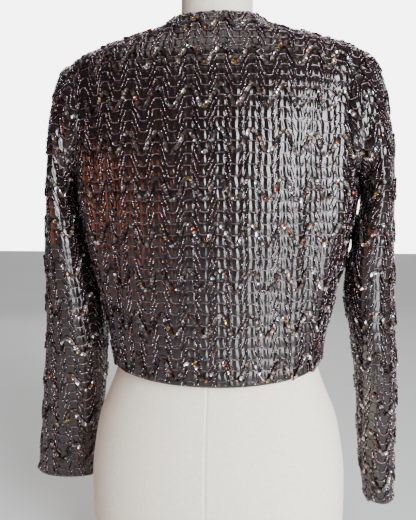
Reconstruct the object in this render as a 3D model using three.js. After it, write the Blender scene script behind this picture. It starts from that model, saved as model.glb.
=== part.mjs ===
// A beaded, cropped, long-sleeved jacket on a limbless dress form.
// Millimetres, +Z up. The garment faces -Y, so the wearer's left is +X. The origin is the middle of the form's base.
import * as THREE from "three";

// ---------------------------------------------------------------- driving sizes
const CLOTH = 2; // wall of beaded satin with its backing
const SEAM_GAP = 0.3; // between two sewn pieces
const ARMHOLE_GAP = 0.5; // between a sleeve and the armhole that it is set into
const NAPE_Z = 741; // centre back of the neckline
const NECK_POINT_Z = 748; // neckline at the shoulder seam
const FRONT_NECK_Z = 680; // centre front of the neckline
const NECK_HALF_WIDTH = 55;
const HEM_Z = 259; // centre back of the hem
const HEM_SIDE_RISE = 16; // how far the hem climbs towards the side seams
const FRONT_HEM_RISE = 10; // centre front of the hem, above the centre back
const ARMPIT_Z = 515;
const SHOULDER_TIP_Z = 684;
const FRONT_GAP_TOP = 1; // between the two fronts at the neck
const FRONT_GAP_HEM = 8; // between the two fronts at the hem
const BASE_THICKNESS = 8; // board under the form
const NECK_TOP_Z = 800;
const NECK_RADIUS = 47;
const NECK_CENTRE_Y = -2;

// The jacket's body, outside of the cloth: half width, and how far it stands off the side plane behind and in front.
const TORSO = [
  { z: 250, halfWidth: 136, back: 100, front: 112, power: 2.25 },
  { z: 300, halfWidth: 145, back: 103, front: 117, power: 2.25 },
  { z: 350, halfWidth: 156, back: 107, front: 122, power: 2.25 },
  { z: 400, halfWidth: 170, back: 112, front: 128, power: 2.25 },
  { z: 450, halfWidth: 183, back: 116, front: 132, power: 2.25 },
  { z: 490, halfWidth: 190, back: 118, front: 132, power: 2.25 },
  { z: 515, halfWidth: 193, back: 119, front: 129, power: 2.25 },
  { z: 540, halfWidth: 198, back: 119, front: 124, power: 2.25 },
  { z: 580, halfWidth: 208, back: 117, front: 116, power: 2.2 },
  { z: 620, halfWidth: 216, back: 110, front: 105, power: 2.15 },
  { z: 655, halfWidth: 218, back: 100, front: 92, power: 2.1 },
  { z: 673, halfWidth: 214, back: 94, front: 85, power: 2.05 },
  { z: 684, halfWidth: 207, back: 90, front: 81, power: 2 },
  { z: 695, halfWidth: 186, back: 84, front: 75, power: 2 },
  { z: 707, halfWidth: 152, back: 77, front: 70, power: 2 },
  { z: 719, halfWidth: 110, back: 67, front: 64, power: 2 },
  { z: 730, halfWidth: 80, back: 57, front: 60, power: 2 },
  { z: 738, halfWidth: 66, back: 52, front: 57, power: 2 },
  { z: 748, halfWidth: 55, back: 44, front: 49, power: 2 },
];

// Where the armhole edge lies across the body, behind and in front.
const ARMHOLE = [
  { z: 515, backX: 193, frontX: 193 },
  { z: 530, backX: 186, frontX: 183 },
  { z: 560, backX: 178, frontX: 170 },
  { z: 600, backX: 175, frontX: 166 },
  { z: 640, backX: 180, frontX: 173 },
  { z: 665, backX: 191, frontX: 188 },
  { z: 684, backX: 207, frontX: 207 },
];

// Sleeve rings from the cap to the cuff: the outer and the underarm point, half the depth, the centre's Y, how far the
// back of the ring stands above its middle, and how far its back and front lie in towards the armhole.
// Both sleeves are written for the +X side.
const SLEEVE_LEFT = [
  { outX: 215, outZ: 680, inX: 197, inZ: 513, depth: 73, centreY: -2, backRise: 0, hollow: 17 },
  { outX: 223, outZ: 666, inX: 198, inZ: 505, depth: 73, centreY: -3, backRise: 0, hollow: 9 },
  { outX: 228, outZ: 638, inX: 198, inZ: 494, depth: 73, centreY: -3, backRise: 0, hollow: 3 },
  { outX: 230, outZ: 592, inX: 197, inZ: 480, depth: 72, centreY: -3, backRise: 0, hollow: 0 },
  { outX: 235, outZ: 535, inX: 191, inZ: 458, depth: 69, centreY: -4, backRise: 0, hollow: 0 },
  { outX: 240, outZ: 466, inX: 180, inZ: 418, depth: 64, centreY: -5, backRise: 0, hollow: 0 },
  { outX: 245, outZ: 392, inX: 171, inZ: 368, depth: 55, centreY: -8, backRise: 0, hollow: 0 },
  { outX: 249, outZ: 315, inX: 166, inZ: 304, depth: 46, centreY: -14, backRise: 0, hollow: 0 },
  { outX: 258, outZ: 238, inX: 170, inZ: 234, depth: 38, centreY: -24, backRise: 0, hollow: 0 },
  { outX: 268, outZ: 160, inX: 181, inZ: 158, depth: 32, centreY: -37, backRise: 1, hollow: 0 },
  { outX: 279, outZ: 85, inX: 192, inZ: 84, depth: 27, centreY: -48, backRise: 2, hollow: 0 },
];
const SLEEVE_RIGHT = [
  { outX: 213, outZ: 677, inX: 197, inZ: 513, depth: 73, centreY: -2, backRise: 0, hollow: 17 },
  { outX: 222, outZ: 659, inX: 198, inZ: 505, depth: 73, centreY: -3, backRise: 0, hollow: 9 },
  { outX: 230, outZ: 624, inX: 198, inZ: 494, depth: 73, centreY: -3, backRise: 0, hollow: 3 },
  { outX: 235, outZ: 575, inX: 197, inZ: 480, depth: 72, centreY: -3, backRise: 0, hollow: 0 },
  { outX: 238, outZ: 520, inX: 191, inZ: 458, depth: 70, centreY: -4, backRise: 0, hollow: 0 },
  { outX: 237, outZ: 455, inX: 180, inZ: 418, depth: 65, centreY: -6, backRise: 0, hollow: 0 },
  { outX: 238, outZ: 382, inX: 175, inZ: 368, depth: 60, centreY: -10, backRise: 1, hollow: 0 },
  { outX: 241, outZ: 306, inX: 186, inZ: 302, depth: 57, centreY: -17, backRise: 3, hollow: 0 },
  { outX: 244, outZ: 230, inX: 193, inZ: 228, depth: 54, centreY: -28, backRise: 6, hollow: 0 },
  { outX: 243, outZ: 152, inX: 197, inZ: 150, depth: 50, centreY: -42, backRise: 9, hollow: 0 },
  { outX: 243, outZ: 71, inX: 207, inZ: 70, depth: 47, centreY: -54, backRise: 11, hollow: 0 },
];

// The dress form's padded body.
const FORM = [
  { z: 8.3, halfWidth: 163, back: 98, front: 86, power: 2.2 },
  { z: 60, halfWidth: 171, back: 107, front: 92, power: 2.2 },
  { z: 120, halfWidth: 173, back: 111, front: 96, power: 2.2 },
  { z: 190, halfWidth: 165, back: 104, front: 96, power: 2.2 },
  { z: 260, halfWidth: 140, back: 90, front: 91, power: 2.15 },
  { z: 335, halfWidth: 120, back: 80, front: 87, power: 2.1 },
  { z: 420, halfWidth: 135, back: 92, front: 104, power: 2.1 },
  { z: 490, halfWidth: 150, back: 106, front: 124, power: 2.15 },
  { z: 560, halfWidth: 158, back: 111, front: 106, power: 2.2 },
  { z: 620, halfWidth: 168, back: 103, front: 93, power: 2.2 },
  { z: 658, halfWidth: 184, back: 92, front: 82, power: 2.1 },
  { z: 676, halfWidth: 186, back: 85, front: 75, power: 2 },
  { z: 689, halfWidth: 171, back: 79, front: 69, power: 2 },
  { z: 701, halfWidth: 143, back: 72, front: 63, power: 2 },
  { z: 714, halfWidth: 102, back: 61, front: 56, power: 2 },
  { z: 725, halfWidth: 74, back: 52, front: 53, power: 2 },
  { z: 733, halfWidth: 60, back: 47, front: 51, power: 2 },
  { z: 744, halfWidth: 51, back: 45, front: 50, power: 2 },
  { z: 760, halfWidth: 49.5, back: 45, front: 50, power: 2 },
  { z: NECK_TOP_Z, halfWidth: 49.5, back: 45, front: 50, power: 2 },
];

// The turned cap that closes the neck: rings above the neck's top, and how far each lies inside the neck.
const NECK_CAP = [
  { rise: 0, inset: 1 },
  { rise: 4, inset: 1 },
  { rise: 6, inset: 2 },
  { rise: 7, inset: 5 },
  { rise: 8, inset: 30 },
];

// Soft folds of the body: a ridge (or, with a minus, a trough) along the cloth.
// angle and z place its middle, turn leans it, and width, length and height are its sizes.
const BODY_FOLDS = [
  { angle: 33, z: 470, turn: -0.02, width: 9, length: 120, height: 5 },
  { angle: 47, z: 455, turn: -0.02, width: 8, length: 110, height: -4 },
  { angle: 147, z: 470, turn: 0.02, width: 8, length: 130, height: 6 },
  { angle: 133, z: 455, turn: 0.02, width: 8, length: 110, height: -4 },
  { angle: -38, z: 440, turn: 0.02, width: 9, length: 110, height: 5 },
  { angle: -142, z: 440, turn: -0.02, width: 9, length: 110, height: 5 },
];

// Folds of a sleeve: around (0 the shoulder, 90 the back, 180 the underarm), along (0 the cap, 1 the cuff).
const SLEEVE_FOLDS = [
  { around: 66, along: 0.22, lean: 0.75, width: 10, length: 60, height: -4 },
  { around: 108, along: 0.27, lean: 0.6, width: 10, length: 55, height: -4 },
  { around: 145, along: 0.32, lean: 0.3, width: 9, length: 45, height: -4 },
  { around: 290, along: 0.25, lean: -0.65, width: 10, length: 60, height: -4 },
  { around: 205, along: 0.52, lean: 1.35, width: 9, length: 48, height: -4 },
  { around: 215, along: 0.6, lean: 1.75, width: 8, length: 42, height: -4 },
  { around: 95, along: 0.56, lean: 1.2, width: 12, length: 50, height: 2.5 },
  { around: 90, along: 0.8, lean: 0.1, width: 14, length: 70, height: 2 },
];

// Grid steps. A body panel's rows end at the side seam and the armhole, its columns at the shoulder seam and the neck.
const SIDE_ROWS = 9;
const ARMHOLE_ROWS = 12;
const SHOULDER_STEPS = 7;
const NECK_STEPS = 8;
const SLEEVE_STEPS = 2 * ARMHOLE_ROWS;
const SLEEVE_ROWS = 24;
const FORM_STEPS = 36;

// How far up the centre back and the centre front the row from the armpit ends, from 0 at the hem to 1 at the neck.
const BACK_ARMPIT_SHARE = 0.47;
const FRONT_ARMPIT_SHARE = 0.5;

const DEGREE = Math.PI / 180;

// ---------------------------------------------------------------- reading a table smoothly
// One column of a table at a place, by a cubic through the rows that keeps each row's value.
function readColumn(table, key, column, place) {
  const last = table.length - 1;
  const at = Math.min(Math.max(place, table[0][key]), table[last][key]);
  let row = 0;
  while (row < last - 1 && table[row + 1][key] < at) row += 1;
  const [low, high] = [table[row], table[row + 1]];
  const span = high[key] - low[key];
  const slope = (a, b) => (b[column] - a[column]) / (b[key] - a[key]);
  const here = slope(low, high);
  const before = row > 0 ? slope(table[row - 1], low) : here;
  const after = row + 2 <= last ? slope(high, table[row + 2]) : here;
  // A harmonic mean of the slopes keeps the curve from overshooting.
  const tangent = (a, b) => (a * b <= 0 ? 0 : (2 * a * b) / (a + b));
  const t = (at - low[key]) / span;
  const [startSlope, endSlope] = [tangent(before, here) * span, tangent(here, after) * span];
  const rise = high[column] - low[column];
  return low[column] + t * startSlope + t * t * (3 * rise - 2 * startSlope - endSlope) +
    t * t * t * (startSlope + endSlope - 2 * rise);
}

const bell = (x) => Math.exp(-0.5 * x * x);

// ---------------------------------------------------------------- the body's surface
// A point of a body given by a table of sections, at an angle from +X towards +Y.
function sectionPoint(table, angle, z) {
  const [c, s] = [Math.cos(angle), Math.sin(angle)];
  const power = readColumn(table, "z", "power", z);
  const reach = (Math.abs(c) ** power + Math.abs(s) ** power) ** (-1 / power);
  const depth = readColumn(table, "z", s > 0 ? "back" : "front", z);
  return new THREE.Vector3(readColumn(table, "z", "halfWidth", z) * c * reach, depth * s * reach, z);
}

// The direction that leaves a surface of two parameters, pointing out.
function outward(surface, a, b, stepA, stepB) {
  const alongA = surface(a + stepA, b).sub(surface(a - stepA, b));
  const alongB = surface(a, b + stepB).sub(surface(a, b - stepB));
  return alongA.cross(alongB).normalize();
}

function torsoFold(angle, z) {
  let sum = 0;
  for (const fold of BODY_FOLDS) {
    const middle = fold.angle * DEGREE + (fold.turn * (z - fold.z)) / 100;
    const across = (Math.atan2(Math.sin(angle - middle), Math.cos(angle - middle)) * 150) / fold.width / 1.4;
    sum += fold.height * bell(across) * bell((z - fold.z) / fold.length / 0.6);
  }
  return sum;
}

function torsoPoint(angle, z) {
  const plain = (a, h) => sectionPoint(TORSO, a, h);
  const normal = outward(plain, angle, z, 0.01, 1);
  return plain(angle, z).addScaledVector(normal, torsoFold(angle, z));
}

// The angle where the body at a height is a given distance from the middle.
function angleAtX(x, z, side) {
  let [low, high] = [0, Math.PI];
  for (let i = 0; i < 40; i += 1) {
    const middle = (low + high) / 2;
    if (sectionPoint(TORSO, side * middle, z).x > x) low = middle;
    else high = middle;
  }
  return (side * (low + high)) / 2;
}

// ---------------------------------------------------------------- edges of the cut pieces, as an angle and a height
const hemZ = (angle) => {
  const middle = Math.abs(Math.sin(angle));
  const rise = angle > 0 ? 0 : FRONT_HEM_RISE;
  return HEM_Z + HEM_SIDE_RISE + (rise - HEM_SIDE_RISE) * middle ** 1.5;
};

// The armhole edge: turn 0 is the shoulder tip, 90 degrees the back, 180 the armpit.
function armholeEdge(turn) {
  const z = (SHOULDER_TIP_Z + ARMPIT_Z) / 2 + ((SHOULDER_TIP_Z - ARMPIT_Z) / 2) * Math.cos(turn);
  const behind = Math.sin(turn) >= 0;
  const x = readColumn(ARMHOLE, "z", behind ? "backX" : "frontX", z);
  return { angle: angleAtX(x, z, behind ? 1 : -1), z };
}

// The outer edge of a body panel from the hem to the shoulder tip: side seam, then armhole.
function outerEdge(side) {
  const points = [];
  for (let i = 0; i < SIDE_ROWS; i += 1) {
    points.push({ angle: 0, z: hemZ(0) + ((ARMPIT_Z - hemZ(0)) * i) / SIDE_ROWS });
  }
  for (let i = 0; i <= ARMHOLE_ROWS; i += 1) {
    points.push(armholeEdge(side * Math.PI * (1 - i / ARMHOLE_ROWS)));
  }
  points[points.length - 1].angle = 0;
  return points;
}

// The upper edge from the shoulder tip to the centre: shoulder seam, then neckline, which drops by the given height.
function upperEdge(side, drop, lastTurn) {
  const points = [];
  for (let i = 0; i < SHOULDER_STEPS; i += 1) {
    points.push({ angle: 0, z: SHOULDER_TIP_Z + ((NECK_POINT_Z - SHOULDER_TIP_Z) * i) / SHOULDER_STEPS });
  }
  for (let i = 0; i <= NECK_STEPS; i += 1) {
    const turn = (lastTurn * i) / NECK_STEPS;
    const z = NECK_POINT_Z - (drop * Math.sin(turn)) / Math.sin(lastTurn);
    points.push({ angle: i === 0 ? 0 : angleAtX(NECK_HALF_WIDTH * Math.cos(turn), z, side), z });
  }
  return points;
}

function frontEdgeAngle(z) {
  const share = (NECK_POINT_Z - z) / (NECK_POINT_Z - HEM_Z);
  return angleAtX((FRONT_GAP_TOP + (FRONT_GAP_HEM - FRONT_GAP_TOP) * share) / 2, z, -1);
}

// ---------------------------------------------------------------- filling a panel between its four edges
const mix = (a, b, t) => ({ angle: a.angle + (b.angle - a.angle) * t, z: a.z + (b.z - a.z) * t });

// near and far are the outer and the centre edge, a point for each row; bottom and top have one for each column.
// The rows take the shape of the hem and of the upper edge only close to them.
function fillPanel(bottom, top, near, far) {
  const last = near.length - 1;
  const columns = top.length - 1;
  const shares = rowShares(near);
  return near.map((start, j) => {
    const [towardHem, towardTop] = [(1 - shares[j]) ** 3, shares[j] ** 3];
    return top.map((end, i) => {
      const u = i / columns;
      const point = mix(start, far[j], u);
      const [plainHem, plainTop] = [mix(near[0], far[0], u), mix(near[last], far[last], u)];
      for (const key of ["angle", "z"]) {
        point[key] += towardHem * (bottom[i][key] - plainHem[key]) + towardTop * (end[key] - plainTop[key]);
      }
      return point;
    });
  });
}

// How far along its length each point of an edge lies, from 0 to 1.
function rowShares(edge) {
  const points = edge.map((p) => sectionPoint(TORSO, p.angle, p.z));
  const lengths = [0];
  for (let i = 1; i < points.length; i += 1) lengths.push(lengths[i - 1] + points[i].distanceTo(points[i - 1]));
  return lengths.map((length) => length / lengths[lengths.length - 1]);
}

// The centre edge of a panel, a point for each row. edgeAngle gives its angle at a height.
function centreEdge(bottom, top, armpitShare, edgeAngle) {
  return Array.from({ length: SIDE_ROWS + ARMHOLE_ROWS + 1 }, (_, row) => {
    const below = Math.min(row / SIDE_ROWS, 1);
    const above = Math.max(row - SIDE_ROWS, 0) / ARMHOLE_ROWS;
    const z = bottom + (top - bottom) * (armpitShare * below + (1 - armpitShare) * above);
    return { angle: edgeAngle(z), z };
  });
}

function hemEdge(lastAngle) {
  const columns = SHOULDER_STEPS + NECK_STEPS;
  return Array.from({ length: columns + 1 }, (_, i) => {
    const angle = (lastAngle * i) / columns;
    return { angle, z: hemZ(angle) };
  });
}

// The back is one piece: a half from the left side seam to the centre back, and the same mirrored.
function backPanelPoints() {
  const far = centreEdge(HEM_Z, NAPE_Z, BACK_ARMPIT_SHARE, () => Math.PI / 2);
  const top = upperEdge(1, NECK_POINT_Z - NAPE_Z, Math.PI / 2);
  const half = fillPanel(hemEdge(Math.PI / 2), top, outerEdge(1), far);
  return half.map((row) => {
    const other = row.slice(0, -1).reverse().map((p) => ({ angle: Math.PI - p.angle, z: p.z }));
    return [...row, ...other];
  });
}

function frontPanelPoints() {
  const far = centreEdge(HEM_Z + FRONT_HEM_RISE, FRONT_NECK_Z, FRONT_ARMPIT_SHARE, frontEdgeAngle);
  const top = upperEdge(-1, NECK_POINT_Z - FRONT_NECK_Z, Math.acos(FRONT_GAP_TOP / 2 / NECK_HALF_WIDTH));
  return fillPanel(hemEdge(far[0].angle), top, outerEdge(-1), far);
}

// ---------------------------------------------------------------- closed walls from a grid of points
// outer and inner are rows of points. A grid that is not round gets edges on all four sides.
function wallGeometry(outer, inner, round) {
  const rows = outer.length;
  const columns = outer[0].length;
  const position = [...outer.flat(), ...inner.flat()].flatMap((p) => [p.x, p.y, p.z]);
  const index = [];
  const out = (j, i) => j * columns + (i % columns);
  const inn = (j, i) => rows * columns + out(j, i);
  const quad = (a, b, c, d) => index.push(a, b, c, a, c, d);
  const steps = round ? columns : columns - 1;
  for (let j = 0; j < rows - 1; j += 1) {
    for (let i = 0; i < steps; i += 1) {
      quad(out(j, i), out(j, i + 1), out(j + 1, i + 1), out(j + 1, i));
      quad(inn(j, i), inn(j + 1, i), inn(j + 1, i + 1), inn(j, i + 1));
    }
  }
  for (let i = 0; i < steps; i += 1) {
    quad(out(0, i), inn(0, i), inn(0, i + 1), out(0, i + 1));
    quad(out(rows - 1, i), out(rows - 1, i + 1), inn(rows - 1, i + 1), inn(rows - 1, i));
  }
  if (!round) {
    for (let j = 0; j < rows - 1; j += 1) {
      quad(out(j, 0), out(j + 1, 0), inn(j + 1, 0), inn(j, 0));
      quad(out(j, columns - 1), inn(j, columns - 1), inn(j + 1, columns - 1), out(j + 1, columns - 1));
    }
  }
  const geometry = new THREE.BufferGeometry();
  geometry.setAttribute("position", new THREE.Float32BufferAttribute(position, 3));
  geometry.setIndex(index);
  geometry.computeVertexNormals();
  return geometry;
}

// A body panel as a wall. side is 1 behind and -1 in front. Its edges on the side plane keep half the seam's gap to it.
function panelGeometry(points, side) {
  const plain = (a, h) => torsoPoint(a, h);
  const columns = points[0].length - 1;
  const onSeam = (p) => Math.abs(Math.sin(p.angle)) < 1e-6;
  const outer = [];
  const inner = [];
  points.forEach((row, j) => {
    const outerRow = [];
    const innerRow = [];
    row.forEach((p, i) => {
      const point = torsoPoint(p.angle, p.z);
      const normal = outward(plain, p.angle, p.z, 0.02, 1.5);
      if ((i === 0 || i === columns || j === points.length - 1) && onSeam(p)) {
        normal.y = 0;
        normal.normalize();
        point.y = (side * SEAM_GAP) / 2;
      }
      outerRow.push(point);
      innerRow.push(point.clone().addScaledVector(normal, -CLOTH));
    });
    outer.push(side > 0 ? outerRow : outerRow.reverse());
    inner.push(side > 0 ? innerRow : innerRow.reverse());
  });
  return wallGeometry(outer, inner, false);
}

// ---------------------------------------------------------------- sleeves
// The armhole at a turn: its point on the body's outside, the direction out of the cloth, and the one off its edge.
function armholeFrame(turn) {
  const at = (t) => {
    const edge = armholeEdge(t);
    return torsoPoint(edge.angle, edge.z);
  };
  const edge = armholeEdge(turn);
  const normal = outward(torsoPoint, edge.angle, edge.z, 0.02, 1.5);
  const along = at(turn + 0.05).sub(at(turn - 0.05));
  const off = along.clone().cross(normal).normalize();
  return { point: at(turn), normal, off };
}

function armholePoint(turn) {
  const { point, off } = armholeFrame(turn);
  return point.addScaledVector(off, ARMHOLE_GAP);
}

function ringPoint(ring, turn) {
  const [c, s] = [Math.cos(turn), Math.sin(turn)];
  const x = (ring.outX + ring.inX) / 2 + ((ring.outX - ring.inX) / 2) * c - ring.hollow * s * s;
  const z = (ring.outZ + ring.inZ) / 2 + ((ring.outZ - ring.inZ) / 2) * c + ring.backRise * s;
  return new THREE.Vector3(x, ring.centreY + ring.depth * s, z);
}

// A function of turn and place (0 at the armhole, one for each ring) that gives the sleeve's outside, without folds.
function sleeveSurface(rings) {
  const last = rings.length;
  const ringAt = (j, turn) => (j <= 0 ? armholePoint(turn) : ringPoint(rings[Math.min(j, last) - 1], turn));
  return (turn, place) => {
    const at = Math.min(Math.max(place, 0), last - 1e-6);
    const j = Math.floor(at);
    const near = [ringAt(j, turn), ringAt(j + 1, turn)];
    const before = j > 0 ? ringAt(j - 1, turn) : near[0].clone().multiplyScalar(2).sub(near[1]);
    const after = j + 2 <= last ? ringAt(j + 2, turn) : near[1].clone().multiplyScalar(2).sub(near[0]);
    const t = at - j;
    const point = new THREE.Vector3();
    for (const axis of ["x", "y", "z"]) {
      const [p0, p1, p2, p3] = [before[axis], near[0][axis], near[1][axis], after[axis]];
      point[axis] = 0.5 * (2 * p1 + (p2 - p0) * t + (2 * p0 - 5 * p1 + 4 * p2 - p3) * t * t +
        (3 * p1 - p0 - 3 * p2 + p3) * t * t * t);
    }
    return point;
  };
}

function sleeveFold(turn, share) {
  let sum = 0;
  for (const fold of SLEEVE_FOLDS) {
    const away = turn - fold.around * DEGREE;
    const around = Math.atan2(Math.sin(away), Math.cos(away)) * 55;
    const along = (share - fold.along) * 600;
    const [c, s] = [Math.cos(fold.lean), Math.sin(fold.lean)];
    sum += fold.height * bell((around * c + along * s) / fold.width) * bell((along * c - around * s) / fold.length);
  }
  const fade = Math.min(1, Math.max(0, (share - 0.04) / 0.14));
  return sum * fade * fade * (3 - 2 * fade);
}

function sleeveGeometry(rings) {
  const plain = sleeveSurface(rings);
  const last = rings.length;
  const folded = (turn, place) => {
    const normal = outward(plain, turn, place, 0.02, 0.02);
    return plain(turn, place).addScaledVector(normal, -sleeveFold(turn, place / last));
  };
  const outer = [];
  const inner = [];
  for (let j = 0; j <= SLEEVE_ROWS; j += 1) {
    const place = last * (j / SLEEVE_ROWS);
    const outerRow = [];
    const innerRow = [];
    for (let i = 0; i < SLEEVE_STEPS; i += 1) {
      const turn = (2 * Math.PI * i) / SLEEVE_STEPS;
      const point = folded(turn, place);
      const normal = outward(folded, turn, Math.min(Math.max(place, 0.03), last - 0.03), 0.03, 0.03);
      if (j === 0) normal.copy(armholeFrame(turn).normal).negate();
      outerRow.push(point);
      innerRow.push(point.clone().addScaledVector(normal, CLOTH));
    }
    outer.push(outerRow);
    inner.push(innerRow);
  }
  return wallGeometry(outer.reverse(), inner.reverse(), true);
}

// ---------------------------------------------------------------- the dress form
function formGeometry() {
  // A ring at each row of the table and one between each two.
  const heights = FORM.flatMap((row, j) => (j === 0 ? [row.z] : [(FORM[j - 1].z + row.z) / 2, row.z]));
  return cappedRings(heights.map((z) => (
    Array.from({ length: FORM_STEPS }, (_, i) => sectionPoint(FORM, (2 * Math.PI * i) / FORM_STEPS, z))
  )));
}

// A closed body from rings of equal length, the ends closed by a fan about each ring's middle.
function cappedRings(rings) {
  const steps = rings[0].length;
  const points = rings.flat();
  const index = [];
  for (let j = 0; j < rings.length - 1; j += 1) {
    for (let i = 0; i < steps; i += 1) {
      const [a, b] = [j * steps + i, j * steps + ((i + 1) % steps)];
      index.push(a, b, b + steps, a, b + steps, a + steps);
    }
  }
  const middleOf = (ring) => ring.reduce((sum, p) => sum.add(p), new THREE.Vector3()).divideScalar(steps);
  const first = points.push(middleOf(rings[0])) - 1;
  const last = points.push(middleOf(rings[rings.length - 1])) - 1;
  const top = (rings.length - 1) * steps;
  for (let i = 0; i < steps; i += 1) {
    const next = (i + 1) % steps;
    index.push(first, next, i);
    index.push(last, top + i, top + next);
  }
  const geometry = new THREE.BufferGeometry();
  geometry.setAttribute("position", new THREE.Float32BufferAttribute(points.flatMap((p) => [p.x, p.y, p.z]), 3));
  geometry.setIndex(index);
  geometry.computeVertexNormals();
  return geometry;
}

function baseGeometry() {
  const inset = 2;
  const outline = Array.from({ length: FORM_STEPS }, (_, i) => {
    const p = sectionPoint(FORM, (2 * Math.PI * i) / FORM_STEPS, FORM[0].z);
    return new THREE.Vector2(p.x, p.y).multiplyScalar(1 - inset / FORM[0].halfWidth);
  });
  return new THREE.ExtrudeGeometry(new THREE.Shape(outline), { depth: BASE_THICKNESS, bevelEnabled: false });
}

function neckCapGeometry() {
  return cappedRings(NECK_CAP.map(({ rise, inset }) => {
    const z = NECK_TOP_Z + SEAM_GAP + rise;
    return Array.from({ length: FORM_STEPS }, (_, i) => {
      const turn = (2 * Math.PI * i) / FORM_STEPS;
      const radius = NECK_RADIUS - inset;
      return new THREE.Vector3(radius * Math.cos(turn), NECK_CENTRE_Y + radius * Math.sin(turn), z);
    });
  }));
}

// ---------------------------------------------------------------- the whole object
const beadedSatin = new THREE.MeshStandardMaterial({ color: 0x2a2120, roughness: 0.42, metalness: 0.1 });
const formCover = new THREE.MeshStandardMaterial({ color: 0xe6dbc4, roughness: 0.9, metalness: 0 });
const board = new THREE.MeshStandardMaterial({ color: 0xb59a78, roughness: 0.6, metalness: 0 });

function named(name, geometry, material) {
  const mesh = new THREE.Mesh(geometry, material);
  mesh.name = name;
  return mesh;
}

// The same geometry on the other side of the middle plane, its faces still pointing out.
function mirrored(geometry) {
  const copy = geometry.clone().scale(-1, 1, 1);
  const index = copy.index.array;
  for (let i = 0; i < index.length; i += 3) [index[i + 1], index[i + 2]] = [index[i + 2], index[i + 1]];
  copy.computeVertexNormals();
  return copy;
}

const jacket = new THREE.Group();
const frontLeft = panelGeometry(frontPanelPoints(), -1);
jacket.add(named("back", panelGeometry(backPanelPoints(), 1), beadedSatin));
jacket.add(named("front_left", frontLeft, beadedSatin));
jacket.add(named("front_right", mirrored(frontLeft), beadedSatin));
jacket.add(named("sleeve_left", sleeveGeometry(SLEEVE_LEFT), beadedSatin));
jacket.add(named("sleeve_right", mirrored(sleeveGeometry(SLEEVE_RIGHT)), beadedSatin));

const dressForm = new THREE.Group();
dressForm.add(named("form_torso", formGeometry(), formCover));
dressForm.add(named("form_base", baseGeometry(), board));
dressForm.add(named("neck_cap", neckCapGeometry(), board));

const part = new THREE.Group();
part.add(jacket, dressForm);

export default part;
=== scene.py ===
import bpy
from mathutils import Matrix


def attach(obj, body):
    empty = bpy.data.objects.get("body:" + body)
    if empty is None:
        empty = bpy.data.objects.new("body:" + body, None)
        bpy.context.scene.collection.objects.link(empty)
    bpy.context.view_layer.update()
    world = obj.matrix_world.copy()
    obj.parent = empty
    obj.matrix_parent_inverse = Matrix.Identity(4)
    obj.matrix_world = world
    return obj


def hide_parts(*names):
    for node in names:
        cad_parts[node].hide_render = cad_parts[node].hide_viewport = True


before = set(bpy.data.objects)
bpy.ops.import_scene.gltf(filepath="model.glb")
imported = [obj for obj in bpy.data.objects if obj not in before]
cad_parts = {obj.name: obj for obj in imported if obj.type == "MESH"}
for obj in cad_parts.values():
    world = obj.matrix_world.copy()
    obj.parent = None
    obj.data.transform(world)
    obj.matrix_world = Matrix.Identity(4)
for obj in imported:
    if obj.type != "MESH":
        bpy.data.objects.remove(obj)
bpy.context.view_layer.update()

import copy
import math

import bpy
import numpy as np
from mathutils import Vector
from mathutils.geometry import delaunay_2d_cdt

# Lengths are in millimetres until a mesh is made. The surfaces repeat the formulas of the solids.
rng = np.random.default_rng(7)
MM = 0.001

# -------- sizes of the cut pieces
CLOTH = 2.0
SEAM_GAP = 0.3
ARMHOLE_GAP = 0.5
NAPE_Z, NECK_POINT_Z, FRONT_NECK_Z = 741, 748, 680
NECK_HALF_WIDTH = 55
HEM_Z, HEM_SIDE_RISE, FRONT_HEM_RISE = 259, 16, 10
ARMPIT_Z, SHOULDER_TIP_Z = 515, 684
FRONT_GAP_TOP, FRONT_GAP_HEM = 1, 8
NECK_TOP_Z = 800
SIDE_ROWS, ARMHOLE_ROWS, SHOULDER_STEPS, NECK_STEPS = 9, 12, 7, 8
ROWS = SIDE_ROWS + ARMHOLE_ROWS
COLUMNS = SHOULDER_STEPS + NECK_STEPS
BACK_ARMPIT_SHARE, FRONT_ARMPIT_SHARE = 0.47, 0.5


def table(names, rows):
    values = np.array(rows, float)
    return {name: values[:, i] for i, name in enumerate(names.split())}


TORSO = table("z half_width back front power", [
    (250, 136, 100, 112, 2.25), (300, 145, 103, 117, 2.25), (350, 156, 107, 122, 2.25), (400, 170, 112, 128, 2.25),
    (450, 183, 116, 132, 2.25), (490, 190, 118, 132, 2.25), (515, 193, 119, 129, 2.25), (540, 198, 119, 124, 2.25),
    (580, 208, 117, 116, 2.2), (620, 216, 110, 105, 2.15), (655, 218, 100, 92, 2.1), (673, 214, 94, 85, 2.05),
    (684, 207, 90, 81, 2), (695, 186, 84, 75, 2), (707, 152, 77, 70, 2), (719, 110, 67, 64, 2),
    (730, 80, 57, 60, 2), (738, 66, 52, 57, 2), (748, 55, 44, 49, 2),
])
ARMHOLE = table("z back_x front_x", [
    (515, 193, 193), (530, 186, 183), (560, 178, 170), (600, 175, 166), (640, 180, 173), (665, 191, 188),
    (684, 207, 207),
])
SLEEVE_NAMES = "out_x out_z in_x in_z depth centre_y back_rise hollow"
SLEEVE_LEFT = table(SLEEVE_NAMES, [
    (215, 680, 197, 513, 73, -2, 0, 17), (223, 666, 198, 505, 73, -3, 0, 9), (228, 638, 198, 494, 73, -3, 0, 3),
    (230, 592, 197, 480, 72, -3, 0, 0), (235, 535, 191, 458, 69, -4, 0, 0), (240, 466, 180, 418, 64, -5, 0, 0),
    (245, 392, 171, 368, 55, -8, 0, 0), (249, 315, 166, 304, 46, -14, 0, 0), (258, 238, 170, 234, 38, -24, 0, 0),
    (268, 160, 181, 158, 32, -37, 1, 0), (279, 85, 192, 84, 27, -48, 2, 0),
])
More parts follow.
